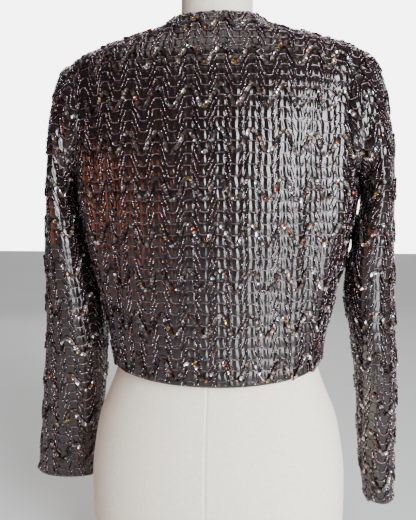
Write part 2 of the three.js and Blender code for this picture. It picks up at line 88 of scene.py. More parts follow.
SLEEVE_RIGHT = table(SLEEVE_NAMES, [
    (213, 677, 197, 513, 73, -2, 0, 17), (222, 659, 198, 505, 73, -3, 0, 9), (230, 624, 198, 494, 73, -3, 0, 3),
    (235, 575, 197, 480, 72, -3, 0, 0), (238, 520, 191, 458, 70, -4, 0, 0), (237, 455, 180, 418, 65, -6, 0, 0),
    (238, 382, 175, 368, 60, -10, 1, 0), (241, 306, 186, 302, 57, -17, 3, 0), (244, 230, 193, 228, 54, -28, 6, 0),
    (243, 152, 197, 150, 50, -42, 9, 0), (243, 71, 207, 70, 47, -54, 11, 0),
])
FORM = table("z half_width back front power", [
    (8.3, 163, 98, 86, 2.2), (60, 171, 107, 92, 2.2), (120, 173, 111, 96, 2.2), (190, 165, 104, 96, 2.2),
    (260, 140, 90, 91, 2.15), (335, 120, 80, 87, 2.1), (420, 135, 92, 104, 2.1), (490, 150, 106, 124, 2.15),
    (560, 158, 111, 106, 2.2), (620, 168, 103, 93, 2.2), (658, 184, 92, 82, 2.1), (676, 186, 85, 75, 2),
    (689, 171, 79, 69, 2), (701, 143, 72, 63, 2), (714, 102, 61, 56, 2), (725, 74, 52, 53, 2),
    (733, 60, 47, 51, 2), (744, 51, 45, 50, 2), (760, 49.5, 45, 50, 2), (NECK_TOP_Z, 49.5, 45, 50, 2),
])
BODY_FOLDS = table("angle z turn width length height", [
    (33, 470, -0.02, 9, 120, 5), (47, 455, -0.02, 8, 110, -4), (147, 470, 0.02, 8, 130, 6),
    (133, 455, 0.02, 8, 110, -4), (-38, 440, 0.02, 9, 110, 5), (-142, 440, -0.02, 9, 110, 5),
])
SLEEVE_FOLDS = table("around along lean width length height", [
    (66, 0.22, 0.75, 10, 60, -4), (108, 0.27, 0.6, 10, 55, -4), (145, 0.32, 0.3, 9, 45, -4),
    (290, 0.25, -0.65, 10, 60, -4), (205, 0.52, 1.35, 9, 48, -4), (215, 0.6, 1.75, 8, 42, -4),
    (95, 0.56, 1.2, 12, 50, 2.5), (90, 0.8, 0.1, 14, 70, 2),
])


# -------- surfaces
def read(rows, column, place):
    """One column of a table at places along its z, by a cubic that keeps each row's value."""
    xs, ys = rows["z"], rows[column]
    place = np.clip(place, xs[0], xs[-1])
    i = np.clip(np.searchsorted(xs, place) - 1, 0, len(xs) - 2)
    slope = np.diff(ys) / np.diff(xs)
    here, before, after = slope[i], slope[np.maximum(i - 1, 0)], slope[np.minimum(i + 1, len(slope) - 1)]

    def tangent(a, b):
        total = np.where(a + b == 0, 1, a + b)
        return np.where(a * b <= 0, 0, 2 * a * b / total)

    span = xs[i + 1] - xs[i]
    t = (place - xs[i]) / span
    start, end, rise = tangent(before, here) * span, tangent(here, after) * span, ys[i + 1] - ys[i]
    return ys[i] + t * start + t * t * (3 * rise - 2 * start - end) + t ** 3 * (start + end - 2 * rise)


def section(rows, angle, z):
    c, s = np.cos(angle), np.sin(angle)
    power = read(rows, "power", z)
    reach = (np.abs(c) ** power + np.abs(s) ** power) ** (-1 / power)
    depth = np.where(s > 0, read(rows, "back", z), read(rows, "front", z))
    return np.stack([read(rows, "half_width", z) * c * reach, depth * s * reach, z + 0 * angle], axis=-1)


def unit(vectors):
    return vectors / np.maximum(np.linalg.norm(vectors, axis=-1, keepdims=True), 1e-9)


def outward(surface, a, b, step_a, step_b):
    along_a = surface(a + step_a, b) - surface(a - step_a, b)
    along_b = surface(a, b + step_b) - surface(a, b - step_b)
    return unit(np.cross(along_a, along_b))


def bell(x):
    return np.exp(-0.5 * x * x)


def torso_plain(angle, z):
    return section(TORSO, angle, z)


def torso(angle, z):
    total = 0
    for angle0, z0, turn, width, length, height in zip(*BODY_FOLDS.values()):
        middle = math.radians(angle0) + turn * (z - z0) / 100
        across = np.arctan2(np.sin(angle - middle), np.cos(angle - middle)) * 150 / width / 1.4
        total = total + height * bell(across) * bell((z - z0) / length / 0.6)
    normal = outward(torso_plain, angle, z, 0.01, 1)
    return torso_plain(angle, z) + normal * total[..., None]


def angle_at_x(x, z, side):
    power = read(TORSO, "power", z)
    share = np.clip(np.abs(x) / read(TORSO, "half_width", z), 0, 1)
    return side * np.arctan2((1 - share ** power) ** (1 / power), share)


def hem_z(angle):
    rise = np.where(angle > 0, 0, FRONT_HEM_RISE)
    return HEM_Z + HEM_SIDE_RISE + (rise - HEM_SIDE_RISE) * np.abs(np.sin(angle)) ** 1.5


def armhole_edge(turn):
    z = (SHOULDER_TIP_Z + ARMPIT_Z) / 2 + (SHOULDER_TIP_Z - ARMPIT_Z) / 2 * np.cos(turn)
    behind = np.sin(turn) >= 0
    x = np.where(behind, read(ARMHOLE, "back_x", z), read(ARMHOLE, "front_x", z))
    return angle_at_x(x, z, np.where(behind, 1, -1)), z


class Body:
    """A body panel: row 0 at the hem and ROWS at the top, column 0 at its side and COLUMNS at the middle."""

    def __init__(self, side):
        self.side = side
        self.front = side < 0
        self.rows = ROWS
        self.columns = COLUMNS if self.front else 2 * COLUMNS
        self.share = FRONT_ARMPIT_SHARE if self.front else BACK_ARMPIT_SHARE
        fine = np.linspace(0, ROWS, 430)
        points = torso_plain(*self.outer(fine))
        lengths = np.concatenate([[0], np.cumsum(np.linalg.norm(np.diff(points, axis=0), axis=1))])
        self.fine, self.lengths = fine, lengths / lengths[-1]

    def outer(self, row):
        low = hem_z(np.zeros(1))[0]
        angle, z = armhole_edge(self.side * np.pi * (1 - np.maximum(row - SIDE_ROWS, 0) / ARMHOLE_ROWS))
        below = row <= SIDE_ROWS
        angle = np.where(below | (row >= ROWS - 1e-6), 0, angle)
        return angle, np.where(below, low + (ARMPIT_Z - low) * row / SIDE_ROWS, z)

    def upper(self, column):
        drop = NECK_POINT_Z - (FRONT_NECK_Z if self.front else NAPE_Z)
        last = math.acos(FRONT_GAP_TOP / 2 / NECK_HALF_WIDTH) if self.front else math.pi / 2
        turn = last * np.maximum(column - SHOULDER_STEPS, 0) / NECK_STEPS
        z = NECK_POINT_Z - drop * np.sin(turn) / math.sin(last)
        angle = np.where(turn <= 0, 0, angle_at_x(NECK_HALF_WIDTH * np.cos(turn), z, self.side))
        slope = SHOULDER_TIP_Z + (NECK_POINT_Z - SHOULDER_TIP_Z) * column / SHOULDER_STEPS
        return angle, np.where(column <= SHOULDER_STEPS, slope, z)

    def centre(self, row):
        share = self.share * np.minimum(row / SIDE_ROWS, 1)
        share = share + (1 - self.share) * np.maximum(row - SIDE_ROWS, 0) / ARMHOLE_ROWS
        if not self.front:
            return np.full_like(share, math.pi / 2), HEM_Z + (NAPE_Z - HEM_Z) * share
        z = HEM_Z + FRONT_HEM_RISE + (FRONT_NECK_Z - HEM_Z - FRONT_HEM_RISE) * share
        gap = FRONT_GAP_TOP + (FRONT_GAP_HEM - FRONT_GAP_TOP) * (NECK_POINT_Z - z) / (NECK_POINT_Z - HEM_Z)
        return angle_at_x(gap / 2, z, -1), z

    def place(self, row, column):
        """Angle and height on the body at a row and a column."""
        mirrored = column > COLUMNS
        column = np.where(mirrored, 2 * COLUMNS - column, column)
        u = column / COLUMNS
        share = np.interp(row, self.fine, self.lengths)
        zero, last = np.zeros_like(row), np.full_like(row, ROWS)
        hem_angle = self.centre(zero)[0] * u
        hem, top = (hem_angle, hem_z(hem_angle)), self.upper(column)
        result = []
        for key in (0, 1):
            def between(at):
                return self.outer(at)[key] * (1 - u) + self.centre(at)[key] * u
            value = between(row) + (1 - share) ** 3 * (hem[key] - between(zero))
            result.append(value + share ** 3 * (top[key] - between(last)))
        angle, z = result
        return np.where(mirrored, math.pi - angle, angle), z

    def surface(self, row, column):
        """Point on the outside of the cloth, and the direction out of it."""
        angle, z = self.place(row, column)
        point, normal = torso(angle, z), outward(torso, angle, z, 0.02, 1.5)
        # The side and shoulder seams keep half a gap to the side plane.
        seam = np.abs(np.sin(angle)) < 1e-5
        normal[seam, 1] = 0
        point[..., 1] = np.where(seam, self.side * SEAM_GAP / 2, point[..., 1])
        return point, unit(normal)


def armhole_frame(turn):
    def at(t):
        return torso(*armhole_edge(t))
    normal = outward(torso, *armhole_edge(turn), 0.02, 1.5)
    off = unit(np.cross(at(turn + 0.05) - at(turn - 0.05), normal))
    return at(turn), normal, off


class Sleeve:
    """A sleeve on the +X side: row 0 at the cuff, the last row at the armhole; columns go round from the underarm."""

    def __init__(self, rings):
        self.rings = rings
        self.last = len(rings["out_x"])
        self.rows = 24
        self.columns = 24

    def ring(self, j, turn):
        if j == 0:
            point, _, off = armhole_frame(turn)
            return point + off * ARMHOLE_GAP
        out_x, out_z, in_x, in_z, depth, centre_y, back_rise, hollow = (v[j - 1] for v in self.rings.values())
        c, s = np.cos(turn), np.sin(turn)
        x = (out_x + in_x) / 2 + (out_x - in_x) / 2 * c - hollow * s * s
        z = (out_z + in_z) / 2 + (out_z - in_z) / 2 * c + back_rise * s
        return np.stack([x, centre_y + depth * s, z], axis=-1)

    def plain(self, turn, place):
        rings = [self.ring(j, turn) for j in range(self.last + 1)]
        rings = [2 * rings[0] - rings[1]] + rings + [2 * rings[-1] - rings[-2]]
        stack = np.stack(rings)
        at = np.clip(place, 0, self.last - 1e-6)
        j = np.floor(at).astype(int)
        index = tuple(np.indices(j.shape))
        p0, p1, p2, p3 = (stack[(j + k,) + index] for k in range(4))
        t = (at - j)[..., None]
        return 0.5 * (2 * p1 + (p2 - p0) * t + (2 * p0 - 5 * p1 + 4 * p2 - p3) * t * t
                      + (3 * p1 - p0 - 3 * p2 + p3) * t ** 3)

    def fold(self, turn, share):
        total = 0
        for around0, along0, lean, width, length, height in zip(*SLEEVE_FOLDS.values()):
            away = turn - math.radians(around0)
            around, along = np.arctan2(np.sin(away), np.cos(away)) * 55, (share - along0) * 600
            c, s = math.cos(lean), math.sin(lean)
            total = total + height * bell((around * c + along * s) / width) * bell((along * c - around * s) / length)
        fade = np.clip((share - 0.04) / 0.14, 0, 1)
        return total * fade * fade * (3 - 2 * fade)

    def folded(self, turn, place):
        normal = outward(self.plain, turn, place, 0.02, 0.02)
        return self.plain(turn, place) - normal * self.fold(turn, place / self.last)[..., None]

    def surface(self, row, column):
        turn = np.pi * (2 * column / self.columns - 1)
        place = self.last * (1 - row / self.rows)
        point = self.folded(turn, place)
        normal = -outward(self.folded, turn, np.clip(place, 0.03, self.last - 0.03), 0.03, 0.03)
        return point, normal


# -------- laying a panel flat
def flatten(points):
    """Flat places (s, t) for a grid of points, with its triangles kept as stiff as they can be."""
    rows, columns = points.shape[:2]
    count = rows * columns
    index = np.arange(count).reshape(rows, columns)
    a, b, c, d = index[:-1, :-1].ravel(), index[:-1, 1:].ravel(), index[1:, 1:].ravel(), index[1:, :-1].ravel()
    faces = np.concatenate([np.stack([a, b, c], 1), np.stack([a, c, d], 1)])
    flat3 = points.reshape(-1, 3)
    p = flat3[faces]
    e1, e2 = p[:, 1] - p[:, 0], p[:, 2] - p[:, 0]
    x_axis = unit(e1)
    y_axis = unit(np.cross(np.cross(e1, e2), e1))
    local = np.zeros((len(faces), 3, 2))
    local[:, 1, 0] = np.linalg.norm(e1, axis=1)
    local[:, 2, 0], local[:, 2, 1] = (e2 * x_axis).sum(1), (e2 * y_axis).sum(1)
    matrix = np.zeros((count, count))
    weights = []
    for k in range(3):
        i, j, o = faces[:, k], faces[:, (k + 1) % 3], faces[:, (k + 2) % 3]
        u, v = flat3[i] - flat3[o], flat3[j] - flat3[o]
        cot = (u * v).sum(1) / np.maximum(np.linalg.norm(np.cross(u, v), axis=1), 1e-9)
        cot = np.clip(cot, 0.05, 20)
        weights.append(cot)
        for m, n, sign in ((i, i, 1), (j, j, 1), (i, j, -1), (j, i, -1)):
            np.add.at(matrix, (m, n), sign * cot)
    matrix[0, 0] += 1e3
    solve = np.linalg.inv(matrix)
    across = np.linalg.norm(np.diff(points, axis=1), axis=2)
    s = np.concatenate([np.zeros((rows, 1)), np.cumsum(across, axis=1)], axis=1)
    s -= s[:, columns // 2][:, None]
    along = np.linalg.norm(np.diff(points, axis=0), axis=2)
    t = np.concatenate([np.zeros((1, columns)), np.cumsum(along, axis=0)])
    flat = np.stack([s, t], axis=-1).reshape(-1, 2)
    for _ in range(60):
        covariance = np.zeros((len(faces), 2, 2))
        for k in range(3):
            i, j = faces[:, k], faces[:, (k + 1) % 3]
            covariance += weights[k][:, None, None] * np.einsum(
                "na,nb->nab", flat[i] - flat[j], local[:, k] - local[:, (k + 1) % 3])
        turn = np.arctan2(covariance[:, 1, 0] - covariance[:, 0, 1], covariance[:, 0, 0] + covariance[:, 1, 1])
        c, s = np.cos(turn), np.sin(turn)
        rotation = np.stack([np.stack([c, -s], -1), np.stack([s, c], -1)], axis=-2)
        right = np.zeros((count, 2))
        for k in range(3):
            i, j = faces[:, k], faces[:, (k + 1) % 3]
            step = weights[k][:, None] * np.einsum(
                "nab,nb->na", rotation, local[:, k] - local[:, (k + 1) % 3])
            np.add.at(right, i, step)
            np.add.at(right, j, -step)
        right[0] += 1e3 * flat[0]
        flat = solve @ right
    return flat.reshape(rows, columns, 2)


def doubled(values):
    """Rows with one more between each two, on smooth curves through them."""
    before = np.concatenate([2 * values[:1] - values[1:2], values[:-1]])
    past = np.concatenate([values[2:], (2 * values[-1:] - values[-2:-1])])
    middle = (9 * (values[:-1] + values[1:]) - before[:-1] - past) / 16
    result = np.zeros((2 * len(values) - 1,) + values.shape[1:])
    result[::2], result[1::2] = values, middle
    return result


class Cut:
    """A cut piece of cloth: its surface, its flat shape, and the way from a flat place back to the surface."""

    def __init__(self, name, shape, mirror=1, grain=None):
        self.name, self.shape, self.mirror = name, shape, mirror
        # The surface is worked out once, on a fine grid, and read from it after that.
        self.fine_rows, self.fine_columns = 6 * shape.rows, 8 * shape.columns
        row, column = np.meshgrid(np.linspace(0, shape.rows, self.fine_rows + 1),
                                  np.linspace(0, shape.columns, self.fine_columns + 1), indexing="ij")
        self.fine_points, self.fine_normals = shape.surface(row, column)
        flat = flatten(self.fine_points[::6, ::8])
        # Twice as many rows and columns, along smooth curves through the first ones.
        flat = doubled(doubled(flat).transpose(1, 0, 2)).transpose(1, 0, 2)
        self.row_at = np.linspace(0, shape.rows, flat.shape[0])
        self.column_at = np.linspace(0, shape.columns, flat.shape[1])
        self.points = self.fine_points[::3, ::4]
        k = {"middle": flat.shape[1] // 2, "last": -1}[grain]
        low, high = flat[0, k].copy(), flat[-1, k]
        up = unit(high - low)
        side = np.array([up[1], -up[0]])
        self.flat = np.stack([(flat - low) @ side, (flat - low) @ up], axis=-1)

    def shift(self, s, t):
        """Moves the flat places, so that the pattern falls on the piece as the cloth was cut."""
        self.flat = self.flat + (s, t)

    def shift_to_band(self, s, column):
        """Shifts the piece so that the middle of a band of sequins crosses a column at its height on the body."""
        self.shift(s, -np.interp(BAND_Z, self.points[:, column, 2], self.flat[:, column, 1]))

    def to_flat(self, row, column):
        """Flat place at a row and a column, by straight lines over the grid."""
        y = np.interp(row, self.row_at, np.arange(len(self.row_at)))
        y = np.clip(y, 0, len(self.row_at) - 1 - 1e-9)
        x = np.interp(column, self.column_at, np.arange(len(self.column_at)))
        x = np.clip(x, 0, len(self.column_at) - 1 - 1e-9)
        j, i = y.astype(int), x.astype(int)
        v, u = (y - j)[:, None], (x - i)[:, None]
        f = self.flat
        return (f[j, i] * (1 - v) + f[j + 1, i] * v) * (1 - u) + (f[j, i + 1] * (1 - v) + f[j + 1, i + 1] * v) * u

    def from_flat(self, places):
        """Rows and columns of flat places; nan where a place lies off the piece."""
        result = np.full((len(places), 2), np.nan)
        order = np.argsort(places[:, 1], kind="stable")
        sorted_t = places[order, 1]
        f = self.flat
        for j in range(f.shape[0] - 1):
            for i in range(f.shape[1] - 1):
                for corners in (((j, i), (j, i + 1), (j + 1, i + 1)), ((j, i), (j + 1, i + 1), (j + 1, i))):
                    a, b, c = (f[k] for k in corners)
                    first = np.searchsorted(sorted_t, min(a[1], b[1], c[1]) - 1e-6)
                    last = np.searchsorted(sorted_t, max(a[1], b[1], c[1]) + 1e-6)
                    near = order[first:last]
                    q = places[near]
                    near = near[(q[:, 0] >= min(a[0], b[0], c[0]) - 1e-6) & (q[:, 0] <= max(a[0], b[0], c[0]) + 1e-6)]
                    if not len(near):
                        continue
                    q = places[near] - a
                    u, v = b - a, c - a
                    area = u[0] * v[1] - u[1] * v[0]
                    x, y = (q[:, 0] * v[1] - q[:, 1] * v[0]) / area, (u[0] * q[:, 1] - u[1] * q[:, 0]) / area
                    inside = (x >= -1e-6) & (y >= -1e-6) & (x + y <= 1 + 1e-6)
                    near, x, y = near[inside], x[inside], y[inside]
                    row = self.row_at[corners[0][0]] * (1 - x - y) + self.row_at[corners[1][0]] * x
                    column = self.column_at[corners[0][1]] * (1 - x - y) + self.column_at[corners[1][1]] * x
                    result[near, 0] = row + self.row_at[corners[2][0]] * y
                    result[near, 1] = column + self.column_at[corners[2][1]] * y
        return result

    def on(self, row, column):
        """Points on the outside of the cloth at rows and columns, and the directions out of it."""
        y = np.clip(row / self.shape.rows * self.fine_rows, 0, self.fine_rows - 1e-9)
        x = np.clip(column / self.shape.columns * self.fine_columns, 0, self.fine_columns - 1e-9)
        j, i = y.astype(int), x.astype(int)
        v, u = (y - j)[:, None], (x - i)[:, None]
        point, normal = (
            (f[j, i] * (1 - v) + f[j + 1, i] * v) * (1 - u) + (f[j, i + 1] * (1 - v) + f[j + 1, i + 1] * v) * u
            for f in (self.fine_points, self.fine_normals))
        if self.mirror < 0:
            point, normal = point * (-1, 1, 1), normal * (-1, 1, 1)
        return point, unit(normal)


# -------- the pattern of the cloth
PERIOD, PITCH = 38.0, 13.9  # of the stitched waves: along a row, and from a row to the next
FLAT, LEG = 9.0, 10.0  # width of a flat and of a slanting leg
RIDGE, PUFF = PERIOD / 5, 2.3  # width and height of a puffed fold
SEQUIN_EVERY, SEQUIN_WAVE, SEQUIN_STEP = 4, 13.2, 2.25  # rows from a wave to the next, its rise, and its spacing
STRAND_LIFT, THREAD_LIFT, SEQUIN_LIFT = 1.35, 0.8, 2.6  # heights over the cloth
BAND_Z = 617  # height of the middle of a band of sequins on the body
UV_SCALE = 0.01  # texture units to a millimetre


def wander(s, t):
    """How far the hand-guided stitching strays from its even course, as an offset in s and t."""
    off_s = 0.9 * np.sin(t * 0.093 + 1.4 * np.sin(s * 0.031)) + 0.5 * np.sin(t * 0.31 + s * 0.07)
    off_t = 0.7 * np.sin(s * 0.047 + 1.1 * np.sin(t * 0.023)) + 0.3 * np.sin(s * 0.19 - t * 0.05)
    return off_s, off_t


def stray(places):
    return places + np.stack(wander(places[..., 0], places[..., 1]), axis=-1)


def from_top(s):
    """Distance from the middle of the nearest top flat."""
    return np.abs((s + PERIOD / 2) % PERIOD - PERIOD / 2)


def puff(s, t):
    """How far the satin stands proud between the stitches."""
    off_s, off_t = wander(s, t)
    s, t = s - off_s, t - off_t
    ridge = (0.5 + 0.5 * np.cos(2 * np.pi * (s - RIDGE / 2) / RIDGE)) ** 0.95
    share = (t / PITCH) % 1
    pinch = np.clip(4 * share * (1 - share), 0, 1) ** 0.6
    q, down = from_top(s), 1 - share
    strand = np.minimum(np.abs(q - FLAT / 2 - LEG / 2 * down), np.abs(q - FLAT / 2 - LEG / 2 * (1 + down)))
    return PUFF * ridge * pinch * (0.3 + 0.7 * np.clip(strand / 2.2, 0, 1))


def legs(cut):
    """Beads along the slanting legs: flat places and directions."""
    low, high = cut.low, cut.high
    length = math.hypot(LEG, 2 * PITCH)
    steps = np.arange(0.6, length - 0.4, 2.1)
    k = np.arange(math.floor(low[1] / PITCH) - 2, math.ceil(high[1] / PITCH) + 3)
    m = np.arange(math.floor(low[0] / PERIOD) - 1, math.ceil(high[0] / PERIOD) + 2)
    kk, mm, ww, ss = np.meshgrid(k, m, [-1, 1], steps / length, indexing="ij")
    s = mm * PERIOD + ww * (FLAT / 2 + LEG * ss)
    t = (kk + 1) * PITCH - 2 * PITCH * ss
    direction = unit(np.stack([ww * LEG + 0 * ss, -2 * PITCH + 0 * ss], axis=-1).reshape(-1, 2))
    places = np.stack([s, t], axis=-1).reshape(-1, 2)
    return stray(places) + rng.normal(0, 0.16, places.shape), direction


def flats(cut):
    """The thread between two legs, as short straight stretches in scallops."""
    low, high = cut.low, cut.high
    k = np.arange(math.floor(low[1] / PITCH) - 1, math.ceil(high[1] / PITCH) + 2)
    m = np.arange(math.floor(2 * low[0] / PERIOD) - 1, math.ceil(2 * high[0] / PERIOD) + 2)
    u = np.linspace(-1, 1, 7)
    u = (u[1:] + u[:-1]) / 2
    kk, mm, uu = np.meshgrid(k, m, u, indexing="ij")
    bulge = np.where(mm % 2 == 0, 1, -1)
    s = mm * PERIOD / 2 + uu * (FLAT / 2 + 0.4)
    t = kk * PITCH + bulge * ((1 - uu * uu) * 0.9 - 0.4)
    slope = -bulge * 2 * uu * 0.9 / (FLAT / 2)
    direction = unit(np.stack([np.ones_like(uu), slope], axis=-1).reshape(-1, 2))
    return stray(np.stack([s, t], axis=-1).reshape(-1, 2)), direction


def sequin_line(cut):
    """Sequins along smooth waves, each lapping over the last."""
    low, high = cut.low, cut.high
    s = np.arange(math.floor(low[0] / PERIOD) * PERIOD, high[0] + PERIOD, 0.05)
    rise = SEQUIN_WAVE * np.cos(2 * np.pi * s / PERIOD)
    along = np.concatenate([[0], np.cumsum(np.hypot(np.diff(s), np.diff(rise)))])
    at = np.arange(0, along[-1], SEQUIN_STEP)
    s_at, rise_at = np.interp(at, along, s), np.interp(at, along, rise)
    slope = -SEQUIN_WAVE * 2 * np.pi / PERIOD * np.sin(2 * np.pi * s_at / PERIOD)
    band = PITCH * SEQUIN_EVERY
    k = np.arange(math.floor(low[1] / band) - 1, math.ceil(high[1] / band) + 2)
    kk, ss = np.meshgrid(k, s_at, indexing="ij")
    t = kk * band + rise_at[None, :]
    direction = unit(np.stack([np.ones_like(ss), np.broadcast_to(slope, ss.shape)], axis=-1).reshape(-1, 2))
    places = np.stack([ss, t], axis=-1).reshape(-1, 2)
    return stray(places) + rng.normal(0, 0.4, places.shape), direction


# -------- meshes
def new_object(name, points, triangles, materials, material_index=None, smooth=True):
    mesh = bpy.data.meshes.new(name)
    points, triangles = np.asarray(points, np.float32) * MM, np.asarray(triangles, np.int32)
    mesh.vertices.add(len(points))
    mesh.vertices.foreach_set("co", points.ravel())
    mesh.loops.add(triangles.size)
    mesh.loops.foreach_set("vertex_index", triangles.ravel())
    mesh.polygons.add(len(triangles))
    mesh.polygons.foreach_set("loop_start", np.arange(0, triangles.size, 3, dtype=np.int32))
    mesh.update(calc_edges=True)
    mesh.polygons.foreach_set("use_smooth", np.full(len(triangles), smooth))
    for material in materials:
        mesh.materials.append(material)
    if material_index is not None:
        mesh.polygons.foreach_set("material_index", np.asarray(material_index, np.int32))
    piece = bpy.data.objects.new(name, mesh)
    bpy.context.scene.collection.objects.link(piece)
    return piece


def triangulate(edge, inside):
    """Triangles over flat points inside a closed edge, the edge's points first."""
    count = len(edge)
    along = unit(np.roll(edge, -1, axis=0) - np.roll(edge, 1, axis=0))
    # A hair of zigzag keeps three points of the edge from lying in one line.
    zigzag = 0.012 * np.where(np.arange(count) % 2 == 0, 1, -1)
    edge = edge + np.stack([along[:, 1], -along[:, 0]], axis=1) * zigzag[:, None]
    p = np.concatenate([edge, inside])
    edges = [(i, (i + 1) % count) for i in range(count)]
    _, _, faces, source, _, _ = delaunay_2d_cdt([Vector(q) for q in p], edges, [], 1, 1e-5, True)
    back = [s[0] if s else -1 for s in source]
    faces = np.sort(np.array([[back[i] for i in f] for f in faces if len(f) == 3]), axis=1)
    faces = faces[(faces >= 0).all(axis=1)]
    u, v = p[faces[:, 1]] - p[faces[:, 0]], p[faces[:, 2]] - p[faces[:, 0]]
    clockwise = u[:, 0] * v[:, 1] - u[:, 1] * v[:, 0] < 0
    # The edge runs anticlockwise, so a triangle with all its corners on it and in the other order lies outside.
    keep = ~(clockwise & (faces < count).all(axis=1))
    faces[clockwise] = faces[clockwise][:, ::-1]
    return faces[keep]


def distance_to(cut, places, spots):
    """Distance of flat places from the edge of the piece; 9 or more for all that are well inside."""
    shape = cut.shape
    inset = np.minimum.reduce([spots[:, 0], shape.rows - spots[:, 0], spots[:, 1], shape.columns - spots[:, 1]])
    result = np.full(len(places), 9.0)
    near = np.flatnonzero(inset < 1)
    a, b = cut.edge, np.roll(cut.edge, -1, axis=0)
    along = b - a
    square = np.maximum((along ** 2).sum(1), 1e-12)
    for start in range(0, len(near), 1000):
        some = near[start:start + 1000]
        off = places[some][:, None] - a[None]
        share = np.clip((off * along[None]).sum(2) / square, 0, 1)
        gap = off - share[..., None] * along[None]
        result[some] = np.sqrt((gap ** 2).sum(2).min(1))
    return result


def edge_places(cut, spacing):
    """Rows and columns of points all round the piece, about spacing apart; and the number on each of its four sides."""
    rows, columns = cut.shape.rows, cut.shape.columns
    sides = []
    for start, end in (((0, 0), (0, columns)), ((0, columns), (rows, columns)), ((rows, columns), (rows, 0)),
                       ((rows, 0), (0, 0))):
        share = np.linspace(0, 1, 600)[:, None]
        path = np.array(start) * (1 - share) + np.array(end) * share
        points = cut.on(path[:, 0], path[:, 1])[0]
        length = np.concatenate([[0], np.cumsum(np.linalg.norm(np.diff(points, axis=0), axis=1))])
        count = max(2, round(length[-1] / spacing))
        at = np.interp(np.linspace(0, length[-1], count + 1)[:-1], length, share[:, 0])[:, None]
        sides.append(np.array(start) * (1 - at) + np.array(end) * at)
    return sides


def lattice(cut, edge, step_s, step_t, margin):
    """Flat places on a lattice inside the edge, with their rows and columns and their distance from the edge."""
    low, high = edge.min(0), edge.max(0)
    s = np.arange(math.floor(low[0] / step_s), math.ceil(high[0] / step_s) + 1) * step_s
    t = np.arange(math.floor(low[1] / step_t), math.ceil(high[1] / step_t) + 1) * step_t
    places = np.stack(np.meshgrid(s, t, indexing="ij"), axis=-1).reshape(-1, 2)
    spots = cut.from_flat(places)
    keep = ~np.isnan(spots[:, 0])
    places, spots = places[keep], spots[keep]
    away = distance_to(cut, places, spots)
    keep = away > margin
    return places[keep], spots[keep], away[keep]


def shell(cut, materials, flip):
    """The cloth of one cut piece, puffed outside and plain inside, closed by its turned edge."""
    sides = edge_places(cut, 2.6)
    if isinstance(cut.shape, Sleeve):
        # Both edges of the underarm seam have the same rows, so that they can be joined.
        sides[3] = np.stack([np.concatenate([[cut.shape.rows], sides[1][:0:-1, 0]]), np.zeros(len(sides[1]))], axis=1)
    spots = np.concatenate(sides)
    edge = cut.to_flat(spots[:, 0], spots[:, 1])
    cut.edge, cut.low, cut.high = edge, edge.min(0), edge.max(0)
    count = len(edge)
    places, inside, away = lattice(cut, edge, RIDGE / 4, PITCH / 4, 1.1)
    fine = triangulate(edge, places)
    all_spots = np.concatenate([spots, inside])
    point, normal = cut.on(all_spots[:, 0], all_spots[:, 1])
    fade = np.clip(away / 4, 0, 1)
    s, t = places[:, 0], places[:, 1]
    proud = puff(s, t) * (0.82 + 0.18 * np.sin(s * 0.21 + 2 * np.sin(t * 0.13)) * np.cos(t * 0.37 + s * 0.05))
    lift = np.concatenate([np.full(count, -0.1), -0.1 + proud * fade * fade * (3 - 2 * fade)])
    outer = point + normal * lift[:, None]
    inner_places, inner_inside, _ = lattice(cut, edge, 9, 9, 3)
    coarse = triangulate(edge, inner_places)
    inner_spots = np.concatenate([spots, inner_inside])
    point_in, normal_in = cut.on(inner_spots[:, 0], inner_spots[:, 1])
    inner = point_in - normal_in * (CLOTH - 0.1)
    offset = len(outer)
    ring = np.arange(count)
    following = (ring + 1) % count
    rim = np.concatenate([
        np.stack([ring, ring + offset, following + offset], axis=1),
        np.stack([ring, following + offset, following], axis=1),
    ])
    faces = np.concatenate([fine, coarse[:, ::-1] + offset, rim])
    kind = np.concatenate([np.zeros(len(fine)), np.ones(len(coarse) + len(rim))])
    points = np.concatenate([outer, inner])
    flat = np.concatenate([edge, places, edge, inner_places])
    if isinstance(cut.shape, Sleeve):
        n = [len(side) for side in sides]
        right = np.arange(n[0], n[0] + n[1] + 1)  # from the cuff up
        left = np.concatenate([[0], np.arange(count - 1, count - n[3] - 1, -1)])
        weld = np.arange(len(points))
        weld[left] = right
        weld[left + offset] = right + offset
        # The rim along the underarm seam isn't an edge of the cloth.
        on_seam = np.zeros(count, bool)
        on_seam[n[0]:n[0] + n[1]] = True
        on_seam[count - n[3]:] = True
        keep = np.concatenate([np.ones(len(fine) + len(coarse), bool), np.tile(~on_seam, 2)])
        faces, kind = weld[faces[keep]], kind[keep]
        used, faces = np.unique(faces, return_inverse=True)
        faces = faces.reshape(-1, 3)
        points, flat = points[used], flat[used]
    if flip:
        faces = faces[:, ::-1]
    piece = new_object(cut.name + "_cloth", points, faces, materials, kind)
    layer = piece.data.uv_layers.new(name="cloth")
    layer.data.foreach_set("uv", (flat[faces.ravel()] * UV_SCALE).astype(np.float32).ravel())
    return piece


def frames(cut, places, directions, margin):
    """Points on the cloth with their normal, tangent and side, for the places that lie on it."""
    count = len(places)
    spots = cut.from_flat(np.concatenate([places, places + 0.6 * directions]))
    keep = ~np.isnan(spots[:count, 0]) & ~np.isnan(spots[count:, 0])
    keep[keep] = distance_to(cut, places[keep], spots[:count][keep]) > margin
    here, ahead = spots[:count][keep], spots[count:][keep]
    point, normal = cut.on(here[:, 0], here[:, 1])
    tangent = cut.on(ahead[:, 0], ahead[:, 1])[0] - point
    tangent = unit(tangent - normal * (tangent * normal).sum(1)[:, None])
    return point, normal, tangent, np.cross(normal, tangent), places[keep]


